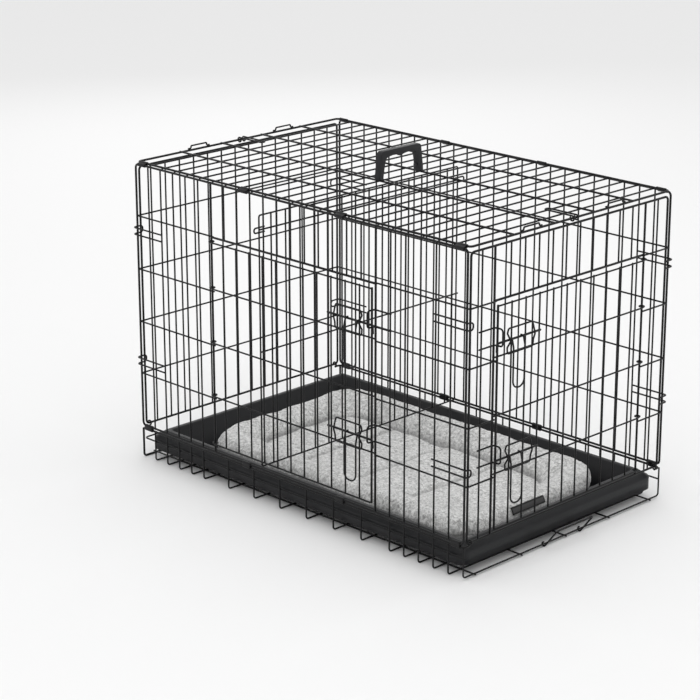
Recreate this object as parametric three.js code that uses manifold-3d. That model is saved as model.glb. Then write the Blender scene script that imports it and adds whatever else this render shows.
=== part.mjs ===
// Folding wire dog crate with a front door, an end door, a divider, a slide-out tray and a padded mat.
// Millimetres, +Z up. The long front side faces -Y and the end with the second door faces +X.
// The origin is on the floor, under the middle of the crate.
// Wires are square bars here. Crossing wires lie in two layers and are joined only at the rails and posts.

import * as THREE from "three";
import { mergeVertices } from "three/addons/utils/BufferGeometryUtils.js";
import Module from "manifold-3d";

// ---- Driving dimensions -------------------------------------------------------------------------

const LENGTH = 910; // between the middles of the corner posts, along X
const WIDTH = 580; // along Y
const BASE_HEIGHT = 72; // floor to the side panels' bottom rail
const SIDE_HEIGHT = 565; // bottom rail to top rail of a side panel
const THIN = 3; // filler wires
const RAIL = 4; // rails, posts and latch bolts
const TOP_BAR = 3.5; // lengthwise wires of the top
const GAP = 0.3; // between wires that cross without a weld
const LONG_BAYS = 24; // spaces between the wires along the length
const END_BAYS = 15; // spaces between the wires across the width
const LEVELS = [0.2, 0.4, 0.6, 0.8]; // heights of the level wires, as shares of SIDE_HEIGHT

const HALF_X = LENGTH / 2;
const HALF_Y = WIDTH / 2;
const LAYER = THIN + GAP; // from one layer of wires to the next
const LONG_PITCH = LENGTH / LONG_BAYS;
const END_PITCH = WIDTH / END_BAYS;
const SIDE_TOP = BASE_HEIGHT + SIDE_HEIGHT;
const levelZ = (share) => BASE_HEIGHT + share * SIDE_HEIGHT;
const longX = (k) => -HALF_X + k * LONG_PITCH;
const endY = (j) => -HALF_Y + j * END_PITCH;

// Doors: the front door hangs on the post at bay 6 and closes on the post at bay 18.
const FRONT_HINGE_BAY = 6;
const FRONT_JAMB_BAY = 18;
const END_HINGE_BAY = 13;
const END_JAMB_Y = endY(2) - 5;
const LINTEL_Z = levelZ(0.8);
const DOOR_RISE = 9; // a door's level wires lie this far above the panel's
const DOOR_EDGE_GAP = 8; // door's edge wire to the jamb post, middle to middle
const DOOR_OVERLAP = 5.5; // level wires' ends past the middle of the jamb post
const FRONT_DOOR_FOOT = 19; // bottom wire above the panel's bottom rail
const END_DOOR_FOOT = 10;
const RING_HOLE = 3.2; // hinge loop's inner radius
const DOOR_STANDOFF = RAIL / 2 + GAP + THIN / 2 + 0.4; // door's plane outside the panel's plane

// End panels: their posts stand just inside the side panels' posts.
const END_POST_Y = HALF_Y - 8.5;
const END_TOP_Z = SIDE_TOP - 10;

// Base: a shallow basket of hoops that holds the tray.
const BASE_RAIL_Z = 65.5;
const BASE_MID_Z = 42;
const END_RUN_Z = 5.6; // the end wire that the tray stop turns on
const RUNNERS = [[0, 1.5], [130, 4.8], [260, 4]]; // lengthwise floor wires: distance from the middle, height
const RUNNER_END = 5; // their ends stand out past the end wires

// Tray and mat.
const TRAY_X = [-440, 447];
const TRAY_HALF_Y = 282;
const TRAY_CORNER = 34;
const TRAY_FLOOR_Z = 6.6;
const TRAY_CROWN_Z = 62;
const TRAY_LIP_Z = 48;
const TRAY_SKIRT_Z = 23;
const TRAY_WALL = 2.6;
const MAT_X = [-374, 381];
const MAT_HALF_Y = 218;
const MAT_TOP_Z = 64;

// Latches, measured along the door (u, zero at its edge wire), outwards (n) and up from a level wire (h).
const BRACKET_U = [-88, -18];
const BRACKET_TALL = 48;
const BRACKET_N = 6.6;
const BRACKET_WAIST_N = 13;
const BOLT_U = [-108, 12];
const BOLT_N = 8;
const BOLT_H = 27;
const BOLT_TIP = 17; // the bent-down end
const PULL_U = [-54, -23];
const PULL_N = 17;
const PULL_DROP = 92; // below the bolt
const KEEPER_H = [22, 55];
const KEEPER_REACH = 22; // outside the panel's plane
const KEEPER_TAIL = 44; // along the panel, away from the door

// Corner catches, top fittings, divider, tray stop.
const CATCH_Z = [0.25, 0.745].map(levelZ);
const CATCH_HALF = 7;
const CATCH_WRAP = 20;
const SLEEVE_LONG = 22;
const SLEEVE_WALL = 1;
const SLEEVE_X = [longX(0.5), longX(8.5), longX(15.5), longX(23.5)];
const TAB_Y = 120;
const TAB_WIDE = 43;
const TAB_TALL = 8.5;
const HOOK_REACH = 68;
const HOOK_HALF = 6;
const DIVIDER_X = -96;
const DIVIDER_TOP = 0.92;
const HANDLE_BAR_Y = 57;
const HANDLE_X = 6.5;
const HANDLE_TALL = 55;
const STOP_Y = [-62, 44];
const STOP_TALL = 48;
const STOP_LEAN = 38; // degrees, outwards from upright

// ---- Materials ----------------------------------------------------------------------------------

const blackWire = new THREE.MeshStandardMaterial({ color: 0x141414, roughness: 0.42, metalness: 0.1 });
const blackSteel = new THREE.MeshStandardMaterial({ color: 0x1a1a1a, roughness: 0.5, metalness: 0.15 });
const trayPlastic = new THREE.MeshStandardMaterial({ color: 0x26262a, roughness: 0.55, metalness: 0 });
const handlePlastic = new THREE.MeshStandardMaterial({ color: 0x202024, roughness: 0.5, metalness: 0 });
const fleece = new THREE.MeshStandardMaterial({ color: 0xc8c8c8, roughness: 0.95, metalness: 0 });

// ---- Solids -------------------------------------------------------------------------------------

const wasm = await Module();
wasm.setup();

function toSolid(geometry) {
  const bare = geometry.clone();
  bare.deleteAttribute("normal");
  bare.deleteAttribute("uv");
  const merged = mergeVertices(bare, 1e-4);
  return new wasm.Manifold(
    new wasm.Mesh({
      numProp: 3,
      vertProperties: merged.attributes.position.array,
      triVerts: new Uint32Array(merged.index.array),
    }),
  );
}

function toGeometry(solid) {
  const mesh = solid.getMesh();
  const geometry = new THREE.BufferGeometry();
  geometry.setAttribute("position", new THREE.BufferAttribute(mesh.vertProperties, 3));
  geometry.setIndex(new THREE.BufferAttribute(mesh.triVerts, 1));
  return geometry;
}

const crate = new THREE.Group();

// One named piece, joined from the geometries given, with the cuts taken away.
function piece(name, material, geometries, cuts = []) {
  let solid = toSolid(geometries[0]);
  for (const geometry of geometries.slice(1)) {
    solid = solid.add(toSolid(geometry));
  }
  for (const cut of cuts) {
    solid = solid.subtract(toSolid(cut));
  }
  const geometry = toGeometry(solid);
  geometry.computeVertexNormals();
  const mesh = new THREE.Mesh(geometry, material);
  mesh.name = name;
  crate.add(mesh);
  return mesh;
}

// A block between two opposite corners, given in any order.
function block(a, b) {
  const size = a.map((value, i) => Math.abs(b[i] - value));
  const middle = a.map((value, i) => (b[i] + value) / 2);
  return new THREE.BoxGeometry(...size).translate(...middle);
}

// A straight square wire between two points that differ along one axis only.
function wire(a, b, thick = THIN) {
  const half = thick / 2;
  const along = a.findIndex((value, i) => Math.abs(b[i] - value) > 1e-9);
  const low = a.map((value, i) => (i === along ? Math.min(value, b[i]) : value - half));
  const high = a.map((value, i) => (i === along ? Math.max(value, b[i]) : value + half));
  return block(low, high);
}

// A wire that turns square corners: each stretch runs half a thickness past its ends.
function bentWire(points, thick = THIN) {
  const half = thick / 2;
  return points.slice(1).map((b, i) => {
    const a = points[i];
    const step = b.map((value, n) => Math.sign(Math.round((value - a[n]) * 1e6)) * half);
    return wire(a.map((value, n) => value - step[n]), b.map((value, n) => value + step[n]), thick);
  });
}

// A flat ring, or part of one, a little thinner than the wire that it joins. Drawn round +Z, then turned.
function ring(hole, turn = 360, from = 0) {
  const outer = hole + THIN;
  const steps = 8;
  const arc = THREE.MathUtils.degToRad(turn);
  const start = THREE.MathUtils.degToRad(from);
  const shape = new THREE.Shape();
  if (turn === 360) {
    shape.absarc(0, 0, outer, 0, 2 * Math.PI);
    const inside = new THREE.Path();
    inside.absarc(0, 0, hole, 0, 2 * Math.PI, true);
    shape.holes.push(inside);
  } else {
    shape.absarc(0, 0, outer, start, start + arc);
    shape.absarc(0, 0, hole, start + arc, start, true);
    shape.closePath();
  }
  const depth = THIN - 0.4;
  const options = { depth, bevelEnabled: false, curveSegments: steps };
  return new THREE.ExtrudeGeometry(shape, options).translate(0, 0, -depth / 2);
}

// ---- Side panels --------------------------------------------------------------------------------

// side is -1 at the front and +1 at the back. The level wires lie on the inside.
function sidePanel(name, side, hasDoor) {
  const y = side * HALF_Y;
  const levelY = side * (HALF_Y - LAYER);
  const low = longX(FRONT_HINGE_BAY);
  const high = longX(FRONT_JAMB_BAY);
  const parts = [
    ...bentWire([[-HALF_X, y, BASE_HEIGHT], [HALF_X, y, BASE_HEIGHT]], RAIL),
    ...bentWire([[-HALF_X, y, SIDE_TOP], [HALF_X, y, SIDE_TOP]], RAIL),
  ];
  for (let k = 0; k <= LONG_BAYS; k++) {
    const overDoor = hasDoor && k > FRONT_HINGE_BAY && k < FRONT_JAMB_BAY;
    const doorPost = hasDoor && (k === FRONT_HINGE_BAY || k === FRONT_JAMB_BAY);
    const isPost = k === 0 || k === LONG_BAYS || doorPost;
    const foot = overDoor ? LINTEL_Z : BASE_HEIGHT;
    parts.push(wire([longX(k), y, foot], [longX(k), y, SIDE_TOP], isPost ? RAIL : THIN));
  }
  if (hasDoor) {
    parts.push(wire([low, y, LINTEL_Z], [high, y, LINTEL_Z], RAIL));
  }
  for (const share of LEVELS) {
    const z = levelZ(share);
    if (hasDoor) {
      parts.push(wire([-HALF_X - RAIL / 2, levelY, z], [low + RAIL / 2, levelY, z]));
      parts.push(wire([high - RAIL / 2, levelY, z], [HALF_X + RAIL / 2, levelY, z]));
    } else {
      parts.push(wire([-HALF_X - RAIL / 2, levelY, z], [HALF_X + RAIL / 2, levelY, z]));
    }
  }
  piece(name, blackWire, parts);
}

sidePanel("front_panel", -1, true);
sidePanel("back_panel", 1, false);

// ---- End panels ---------------------------------------------------------------------------------

// end is -1 at the left and +1 at the right. The level wires lie on the outside.
function endPanel(name, end, hasDoor) {
  const x = end * HALF_X;
  const levelX = end * (HALF_X + LAYER);
  const hinge = endY(END_HINGE_BAY);
  const parts = [
    ...bentWire([[x, -END_POST_Y, BASE_HEIGHT], [x, END_POST_Y, BASE_HEIGHT]], RAIL),
    ...bentWire([[x, -END_POST_Y, END_TOP_Z], [x, END_POST_Y, END_TOP_Z]], RAIL),
    wire([x, -END_POST_Y, BASE_HEIGHT], [x, -END_POST_Y, END_TOP_Z], RAIL),
    wire([x, END_POST_Y, BASE_HEIGHT], [x, END_POST_Y, END_TOP_Z], RAIL),
  ];
  for (let j = 1; j < END_BAYS; j++) {
    const y = hasDoor && j === 2 ? END_JAMB_Y : endY(j);
    const overDoor = hasDoor && j > 2 && j < END_HINGE_BAY;
    const isPost = hasDoor && (j === 2 || j === END_HINGE_BAY);
    const foot = overDoor ? LINTEL_Z : BASE_HEIGHT;
    parts.push(wire([x, y, foot], [x, y, END_TOP_Z], isPost ? RAIL : THIN));
  }
  if (hasDoor) {
    parts.push(wire([x, END_JAMB_Y, LINTEL_Z], [x, hinge, LINTEL_Z], RAIL));
  }
  const edge = END_POST_Y + RAIL / 2;
  for (const share of LEVELS) {
    const z = levelZ(share);
    if (hasDoor) {
      parts.push(wire([levelX, -edge, z], [levelX, END_JAMB_Y + RAIL / 2, z]));
      parts.push(wire([levelX, hinge - RAIL / 2, z], [levelX, edge, z]));
    } else {
      parts.push(wire([levelX, -edge, z], [levelX, edge, z]));
    }
  }
  piece(name, blackWire, parts);
}

endPanel("left_end_panel", -1, false);
endPanel("right_end_panel", 1, true);

// ---- Doors and latches --------------------------------------------------------------------------

// A place on a door, from its edge wire: u towards the jamb, n outwards from the door's wires, z up.
const EDGE_X = longX(FRONT_JAMB_BAY) - DOOR_EDGE_GAP;
const EDGE_Y = END_JAMB_Y + DOOR_EDGE_GAP;
const onFrontDoor = (u, n, z) => [EDGE_X + u, -HALF_Y - DOOR_STANDOFF - n, z];
const onEndDoor = (u, n, z) => [HALF_X + DOOR_STANDOFF + n, EDGE_Y - u, z];

// at places a point on the door, span is the distance from the hinge post to the door's edge wire.
function door(name, at, span, pitch, footZ) {
  const zs = [footZ, ...LEVELS.slice(0, 3).map((share) => levelZ(share) + DOOR_RISE), LINTEL_Z - DOOR_RISE];
  const low = zs[0] - 1;
  const high = zs[4] + 1;
  const parts = [wire(at(0, 0, low), at(0, 0, high), RAIL)];
  for (let from = pitch; from < span - pitch / 2; from += pitch) {
    parts.push(wire(at(from - span, 0, low), at(from - span, 0, high)));
  }
  zs.forEach((z, i) => {
    const outermost = i === 0 || i === 4;
    const levelN = outermost ? THIN / 2 + 0.7 : LAYER - 0.1;
    const reach = outermost ? 0 : DOOR_EDGE_GAP + DOOR_OVERLAP;
    parts.push(wire(at(-span - RING_HOLE, levelN, z), at(reach, levelN, z)));
    parts.push(ring(RING_HOLE).translate(...at(-span, -DOOR_STANDOFF, z)));
  });
  piece(name, blackWire, parts);
}

door("front_door", onFrontDoor, EDGE_X - longX(FRONT_HINGE_BAY), LONG_PITCH, BASE_HEIGHT + FRONT_DOOR_FOOT);
door("end_door", onEndDoor, endY(END_HINGE_BAY) - EDGE_Y, END_PITCH, BASE_HEIGHT + END_DOOR_FOOT);

// The wire frame that is welded to the door and guides the bolt behind its waist.
function latchBracket(name, at, levelZero) {
  const sideWire = (u) =>
    bentWire([
      at(u, BRACKET_N, levelZero),
      at(u, BRACKET_N, levelZero + BOLT_H - 7),
      at(u, BRACKET_WAIST_N, levelZero + BOLT_H - 7),
      at(u, BRACKET_WAIST_N, levelZero + BOLT_H + 7),
      at(u, BRACKET_N, levelZero + BOLT_H + 7),
      at(u, BRACKET_N, levelZero + BRACKET_TALL),
    ]);
  const [low, high] = BRACKET_U;
  const top = levelZero + BRACKET_TALL;
  piece(name, blackWire, [
    ...bentWire([at(low, BRACKET_N, levelZero), at(high, BRACKET_N, levelZero)]),
    ...bentWire([at(low, BRACKET_N, top), at(high, BRACKET_N, top)]),
    ...sideWire(low),
    ...sideWire(high),
  ]);
}

// The bolt with its bent-down tip, and the long loop that is pulled to turn it.
function latchBolt(name, at, levelZero) {
  const z = levelZero + BOLT_H;
  const [low, high] = PULL_U;
  const foot = z - PULL_DROP;
  const [farEnd, tipEnd] = BOLT_U;
  piece(name, blackWire, [
    ...bentWire([at(farEnd, BOLT_N, z), at(tipEnd, BOLT_N, z), at(tipEnd, BOLT_N, z - BOLT_TIP)], RAIL),
    ...bentWire([
      at(low, BOLT_N, z),
      at(low, PULL_N, z),
      at(low, PULL_N, foot),
      at(high, PULL_N, foot),
      at(high, PULL_N, z),
      at(high, BOLT_N, z),
    ]),
  ]);
}

// The hairpin on the jamb post that the bolt passes through. It lies outside the panel's wires.
function latchKeeper(name, at, levelZero) {
  const [low, high] = KEEPER_H.map((h) => levelZero + h);
  const foot = RAIL / 2 + GAP + THIN / 2 - DOOR_STANDOFF;
  const reach = KEEPER_REACH - DOOR_STANDOFF;
  const u = DOOR_EDGE_GAP;
  piece(name, blackWire, bentWire([
    at(u + KEEPER_TAIL, foot, low),
    at(u, foot, low),
    at(u, reach, low),
    at(u, reach, high),
    at(u, foot, high),
    at(u + KEEPER_TAIL, foot, high),
  ]));
}

for (const [side, at] of [["front", onFrontDoor], ["end", onEndDoor]]) {
  for (const [height, share] of [["lower", 0.2], ["upper", 0.6]]) {
    const levelZero = levelZ(share) + DOOR_RISE;
    latchBracket(`${side}_${height}_latch_bracket`, at, levelZero);
    latchBolt(`${side}_${height}_latch_bolt`, at, levelZero);
    latchKeeper(`${side}_${height}_latch_keeper`, at, levelZero);
  }
}

// ---- Top panel and its fittings -----------------------------------------------------------------

const TOP_EDGE_Y = HALF_Y - 6.3;
const TOP_EDGE_Z = SIDE_TOP + 0.5;
const TOP_CROSS_Z = TOP_EDGE_Z - 1.05;
const TOP_BAR_Z = TOP_CROSS_Z + THIN / 2 + GAP + TOP_BAR / 2;
const TOP_BARS_Y = [170, HANDLE_BAR_Y];

const topParts = [];
for (const side of [-1, 1]) {
  const edgeY = side * TOP_EDGE_Y;
  const endX = side * HALF_X;
  topParts.push(...bentWire([[-HALF_X, edgeY, TOP_EDGE_Z], [HALF_X, edgeY, TOP_EDGE_Z]], RAIL));
  topParts.push(wire([endX, -TOP_EDGE_Y, TOP_EDGE_Z], [endX, TOP_EDGE_Y, TOP_EDGE_Z], RAIL));
  for (const y of TOP_BARS_Y) {
    const past = HALF_X + RAIL / 2;
    topParts.push(wire([-past, side * y, TOP_BAR_Z], [past, side * y, TOP_BAR_Z], TOP_BAR));
  }
}
for (let k = 1; k < LONG_BAYS; k++) {
  topParts.push(wire([longX(k), -TOP_EDGE_Y, TOP_CROSS_Z], [longX(k), TOP_EDGE_Y, TOP_CROSS_Z]));
}
piece("top_panel", blackWire, topParts);

// Sheet-metal sleeves, each crimped round a pair of rails: two long edges below and two above.
function sleeve(name, x, railA, railB) {
  const pad = RAIL / 2 + GAP;
  const lowY = Math.min(railA[0], railB[0]) - pad;
  const highY = Math.max(railA[0], railB[0]) + pad;
  const lowZ = Math.min(railA[1], railB[1]) - pad;
  const highZ = Math.max(railA[1], railB[1]) + pad;
  const half = SLEEVE_LONG / 2;
  const wall = SLEEVE_WALL;
  const outside = block([x - half, lowY - wall, lowZ - wall], [x + half, highY + wall, highZ + wall]);
  const inside = block([x - half - 1, lowY, lowZ], [x + half + 1, highY, highZ]);
  piece(name, blackSteel, [outside], [inside]);
}

for (const [word, side] of [["front", -1], ["back", 1]]) {
  SLEEVE_X.forEach((x, i) => {
    const y = side * HALF_Y;
    sleeve(`base_${word}_hinge_sleeve_${i + 1}`, x, [y, BASE_RAIL_Z], [y, BASE_HEIGHT]);
    sleeve(`top_${word}_hinge_sleeve_${i + 1}`, x, [y, SIDE_TOP], [side * TOP_EDGE_Y, TOP_EDGE_Z]);
  });
}

// Hairpins on the side panels that wrap round each corner and hold the end panels upright.
for (const [word, side] of [["front", -1], ["back", 1]]) {
  for (const [hand, end] of [["left", -1], ["right", 1]]) {
    CATCH_Z.forEach((z, i) => {
      const y = side * (HALF_Y + RAIL / 2 + GAP + THIN / 2);
      const x = end * (HALF_X + LAYER + THIN + GAP);
      const tail = end * (HALF_X - 2 * LONG_PITCH - 4);
      const wrap = side * (HALF_Y - CATCH_WRAP);
      piece(`${word}_${hand}_${i ? "upper" : "lower"}_catch`, blackWire, bentWire([
        [tail, y, z - CATCH_HALF],
        [x, y, z - CATCH_HALF],
        [x, wrap, z - CATCH_HALF],
        [x, wrap, z + CATCH_HALF],
        [x, y, z + CATCH_HALF],
        [tail, y, z + CATCH_HALF],
      ]));
    });
  }
}

// Low staples on the top's end wires, and the swinging hooks at the middle of those wires.
for (const [hand, end] of [["left", -1], ["right", 1]]) {
  const x = end * HALF_X;
  for (const [word, side] of [["front", -1], ["back", 1]]) {
    const foot = TOP_EDGE_Z + RAIL / 2 + GAP + THIN / 2;
    const top = foot + TAB_TALL - THIN;
    const low = side * TAB_Y - TAB_WIDE / 2;
    const high = side * TAB_Y + TAB_WIDE / 2;
    piece(`top_${hand}_${word}_tab`, blackWire, bentWire([
      [x, low - 8, foot], [x, low, foot], [x, low, top], [x, high, top], [x, high, foot], [x, high + 8, foot],
    ]));
  }
  const loops = [-1, 1].map((side) =>
    ring(RING_HOLE).rotateX(Math.PI / 2).translate(x, side * HOOK_HALF, TOP_EDGE_Z));
  const prongZ = TOP_EDGE_Z + RING_HOLE + THIN / 2 - 0.2;
  piece(`${hand}_end_hook`, blackWire, [
    ...loops,
    ...bentWire([
      [x, -HOOK_HALF, prongZ],
      [x - end * HOOK_REACH, -HOOK_HALF, prongZ],
      [x - end * HOOK_REACH, HOOK_HALF, prongZ],
      [x, HOOK_HALF, prongZ],
    ]),
  ]);
}

// ---- Carry handle -------------------------------------------------------------------------------

// The outline lies in the Y-Z plane: two flared feet, two legs and a grip with four finger scallops.
function carryHandle() {
  const foot = TOP_BAR_Z + TOP_BAR / 2 + GAP;
  const top = foot + HANDLE_TALL;
  const grip = 15;
  const legOut = HANDLE_BAR_Y + 6;
  const legIn = HANDLE_BAR_Y - 7;
  const shoulder = 9;
  const scallops = 4;
  const scallopWide = (2 * (legIn - 4)) / scallops;
  const outline = new THREE.Shape();
  outline.moveTo(-legOut, foot);
  outline.lineTo(-legOut + 3, top - shoulder);
  outline.quadraticCurveTo(-legOut + 4, top, -legOut + 4 + shoulder, top);
  outline.lineTo(legOut - 4 - shoulder, top);
  outline.quadraticCurveTo(legOut - 4, top, legOut - 3, top - shoulder);
  outline.lineTo(legOut, foot);
  outline.lineTo(legIn, foot);
  outline.lineTo(legIn - 4, top - grip - 5);
  for (let i = 0; i < scallops; i++) {
    const right = legIn - 4 - i * scallopWide;
    outline.quadraticCurveTo(right - scallopWide / 2, top - grip + 5, right - scallopWide, top - grip - 3);
  }
  outline.lineTo(-legIn, foot);
  outline.closePath();
  const depth = 13;
  const body = new THREE.ExtrudeGeometry(outline, { depth, bevelEnabled: false, curveSegments: 5 });
  body.rotateX(Math.PI / 2).rotateZ(Math.PI / 2).translate(HANDLE_X - depth / 2, 0, 0);
  return body;
}

piece("carry_handle", handlePlastic, [carryHandle()]);

// ---- Base ---------------------------------------------------------------------------------------

// A hoop stands at every bay near the ends and at every second bay under the door.
const hoopBays = [];
for (let k = 0; k <= LONG_BAYS; k++) {
  if (k < 6 || k > 18 || k % 2) {
    hoopBays.push(k);
  }
}

const floorParts = [];
for (const k of hoopBays) {
  const x = longX(k);
  const reach = HALF_Y + THIN / 2;
  if (k === 0) {
    floorParts.push(block([x - THIN / 2, -reach, 0], [x + THIN / 2, reach, RAIL]));
  } else {
    const z = k === LONG_BAYS ? END_RUN_Z : THIN / 2;
    floorParts.push(wire([x, -reach, z], [x, reach, z]));
  }
}
for (const [y, z] of RUNNERS) {
  for (const runnerY of y ? [-y, y] : [0]) {
    floorParts.push(wire([-HALF_X - RUNNER_END, runnerY, z], [HALF_X + RUNNER_END, runnerY, z]));
  }
}
piece("base_floor_grid", blackWire, floorParts);

// The upright part of the basket on one long side, with an eye at each end for the end panels' rails.
function baseSkirt(name, side) {
  const y = side * HALF_Y;
  const midY = side * (HALF_Y - LAYER);
  const parts = [
    ...bentWire([[-HALF_X, y, BASE_RAIL_Z], [HALF_X, y, BASE_RAIL_Z]], RAIL),
    wire([-HALF_X - RAIL / 2, midY, BASE_MID_Z], [HALF_X + RAIL / 2, midY, BASE_MID_Z]),
  ];
  for (const k of hoopBays) {
    const isEnd = k === 0 || k === LONG_BAYS;
    const foot = k === LONG_BAYS ? END_RUN_Z + THIN / 2 + GAP : k === 0 ? RAIL + GAP : THIN + GAP;
    parts.push(wire([longX(k), y, foot], [longX(k), y, BASE_RAIL_Z], isEnd ? RAIL : THIN));
  }
  for (const end of [-1, 1]) {
    const x = end * HALF_X;
    const eyeY = side * (HALF_Y - 17);
    parts.push(ring(RING_HOLE).rotateX(Math.PI / 2).translate(x, eyeY, BASE_HEIGHT));
    parts.push(wire([x, y, BASE_RAIL_Z], [x, eyeY - (side * THIN) / 2, BASE_RAIL_Z]));
  }
  piece(name, blackWire, parts);
}

baseSkirt("base_front_skirt", -1);
baseSkirt("base_back_skirt", 1);

// The middle wire goes on round the left end, where it stops the tray.
const endWireY = HALF_Y - LAYER - THIN / 2 - GAP;
piece("base_left_end_wire", blackWire, [
  wire([-HALF_X, -endWireY, BASE_MID_Z], [-HALF_X, endWireY, BASE_MID_Z]),
]);

// The tray stop: a wire flap that turns on the right end wire.
function trayStop() {
  const lean = THREE.MathUtils.degToRad(STOP_LEAN);
  const hole = THIN / 2 + 0.8;
  const bar = hole + THIN / 2;
  const flap = [
    ...bentWire([
      [bar, STOP_Y[0], 0],
      [bar, STOP_Y[0], STOP_TALL],
      [bar, STOP_Y[1], STOP_TALL],
      [bar, STOP_Y[1], 0],
    ]),
    ...STOP_Y.map((y) => ring(hole, 240, 120).rotateX(Math.PI / 2).translate(0, y, 0)),
  ];
  for (const geometry of flap) {
    geometry.rotateY(lean).translate(HALF_X, 0, END_RUN_Z);
  }
  return flap;
}

piece("tray_stop", blackWire, trayStop());

// ---- Tray and mat -------------------------------------------------------------------------------

// A closed surface through rounded rectangles, one for each [inset, z] of the profile, with flat ends.
function loftedRectangle(xs, halfY, corner, profile) {
  const arcSteps = 5;
  const middleX = (xs[0] + xs[1]) / 2;
  const halfX = (xs[1] - xs[0]) / 2;
  const positions = [];
  for (const [inset, z] of profile) {
    const r = Math.max(corner - inset, 8);
    for (let q = 0; q < 4; q++) {
      const signX = q === 0 || q === 3 ? 1 : -1;
      const signY = q < 2 ? 1 : -1;
      for (let i = 0; i <= arcSteps; i++) {
        const angle = (Math.PI / 2) * (q + i / arcSteps);
        positions.push(
          middleX + signX * (halfX - inset - r) + r * Math.cos(angle),
          signY * (halfY - inset - r) + r * Math.sin(angle),
          z,
        );
      }
    }
  }
  const around = 4 * (arcSteps + 1);
  const rings = profile.length;
  const index = [];
  for (let i = 0; i < rings - 1; i++) {
    for (let j = 0; j < around; j++) {
      const a = i * around + j;
      const b = i * around + ((j + 1) % around);
      index.push(a, b, b + around, a, b + around, a + around);
    }
  }
  for (let j = 1; j < around - 1; j++) {
    const last = (rings - 1) * around;
    index.push(0, j + 1, j);
    index.push(last, last + j, last + j + 1);
  }
  const geometry = new THREE.BufferGeometry();
  geometry.setAttribute("position", new THREE.Float32BufferAttribute(positions, 3));
  geometry.setIndex(index);
  return geometry;
}

// From the underside of the floor outwards, down the skirt, up over the lip and crown, and back to the floor.
const trayProfile = [
  [56, TRAY_FLOOR_Z],
  [27, TRAY_CROWN_Z - TRAY_WALL],
  [22, TRAY_CROWN_Z - TRAY_WALL],
  [TRAY_WALL, TRAY_LIP_Z - 1],
  [TRAY_WALL, TRAY_SKIRT_Z],
  [0, TRAY_SKIRT_Z],
  [0, TRAY_LIP_Z],
  [21, TRAY_CROWN_Z],
  [29, TRAY_CROWN_Z],
  [58, TRAY_FLOOR_Z + TRAY_WALL],
];
piece("tray", trayPlastic, [loftedRectangle(TRAY_X, TRAY_HALF_Y, TRAY_CORNER, trayProfile)]);

const matProfile = [
  [12, TRAY_FLOOR_Z + TRAY_WALL + GAP],
  [0, TRAY_FLOOR_Z + TRAY_WALL + 14],
  [0, MAT_TOP_Z - 14],
  [14, MAT_TOP_Z],
];
piece("mat", fleece, [loftedRectangle(MAT_X, MAT_HALF_Y, 70, matProfile)]);

// ---- Divider ------------------------------------------------------------------------------------

const DIVIDER_HALF_Y = HALF_Y - 7;
const DIVIDER_FOOT_Z = BASE_HEIGHT + 2;
const dividerTop = levelZ(DIVIDER_TOP);
const onDivider = (y, z) => [DIVIDER_X, y, z];
const dividerParts = bentWire([
  onDivider(-DIVIDER_HALF_Y, DIVIDER_FOOT_Z),
  onDivider(DIVIDER_HALF_Y, DIVIDER_FOOT_Z),
  onDivider(DIVIDER_HALF_Y, dividerTop),
  onDivider(-DIVIDER_HALF_Y, dividerTop),
  onDivider(-DIVIDER_HALF_Y, DIVIDER_FOOT_Z),
], RAIL);
for (let j = 1; j < END_BAYS; j++) {
  dividerParts.push(wire(onDivider(endY(j), DIVIDER_FOOT_Z), onDivider(endY(j), dividerTop)));
}
for (const share of [0.43, 0.87]) {
  const x = DIVIDER_X + LAYER;
  const past = DIVIDER_HALF_Y + RAIL / 2;
  dividerParts.push(wire([x, -past, levelZ(share)], [x, past, levelZ(share)]));
}
for (const side of [-1, 1]) {
  // A loop at each side pokes out between the wires of the side panel.
  const z = levelZ(0.87);
  const inner = side * DIVIDER_HALF_Y;
  const outer = side * (HALF_Y + 9);
  const x = DIVIDER_X + LAYER;
  const loop = [[x, inner, z - 5], [x, outer, z - 5], [x, outer, z + 5], [x, inner, z + 5]];
  dividerParts.push(...bentWire(loop));
}
piece("divider_panel", blackWire, dividerParts);

export default crate;
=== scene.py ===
# %% [markdown]
# # A folding wire dog crate
# The crate is about two hundred and fifty straight and bent steel wires, resistance-welded where they
# cross and dipped in black. Around them sit a few other things: sheet-metal hinge sleeves, a moulded handle,
# a thin tray and a stuffed mat. The solid model draws every wire as a square bar, so nearly all of it is
# drawn again here, with round wire, rounded bends, pressed welds and cut ends.
# Everything is placed from the solid model's own boxes, in metres, with the origin on the floor.

import math

import bpy
import numpy as np
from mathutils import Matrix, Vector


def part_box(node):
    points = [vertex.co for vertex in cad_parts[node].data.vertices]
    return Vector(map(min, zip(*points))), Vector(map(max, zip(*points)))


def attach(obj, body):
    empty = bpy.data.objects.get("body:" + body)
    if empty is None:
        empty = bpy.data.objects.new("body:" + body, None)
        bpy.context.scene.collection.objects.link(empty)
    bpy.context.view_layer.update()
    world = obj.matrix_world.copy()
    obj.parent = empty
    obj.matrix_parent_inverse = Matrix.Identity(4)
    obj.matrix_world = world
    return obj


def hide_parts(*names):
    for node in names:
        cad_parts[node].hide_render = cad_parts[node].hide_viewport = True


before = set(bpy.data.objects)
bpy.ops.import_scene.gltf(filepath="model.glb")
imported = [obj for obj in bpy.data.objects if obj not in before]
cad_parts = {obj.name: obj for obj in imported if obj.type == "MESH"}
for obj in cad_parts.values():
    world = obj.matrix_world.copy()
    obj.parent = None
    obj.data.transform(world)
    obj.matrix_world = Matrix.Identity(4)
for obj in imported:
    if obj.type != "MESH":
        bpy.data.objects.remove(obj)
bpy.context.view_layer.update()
MM = 0.001

# %% [markdown]
# ## Sizes
# A size that the solid model already has is read from the box of one of its nodes. What is left are
# the sizes that only the round wire has: its gauges and how tightly it is bent.

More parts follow.
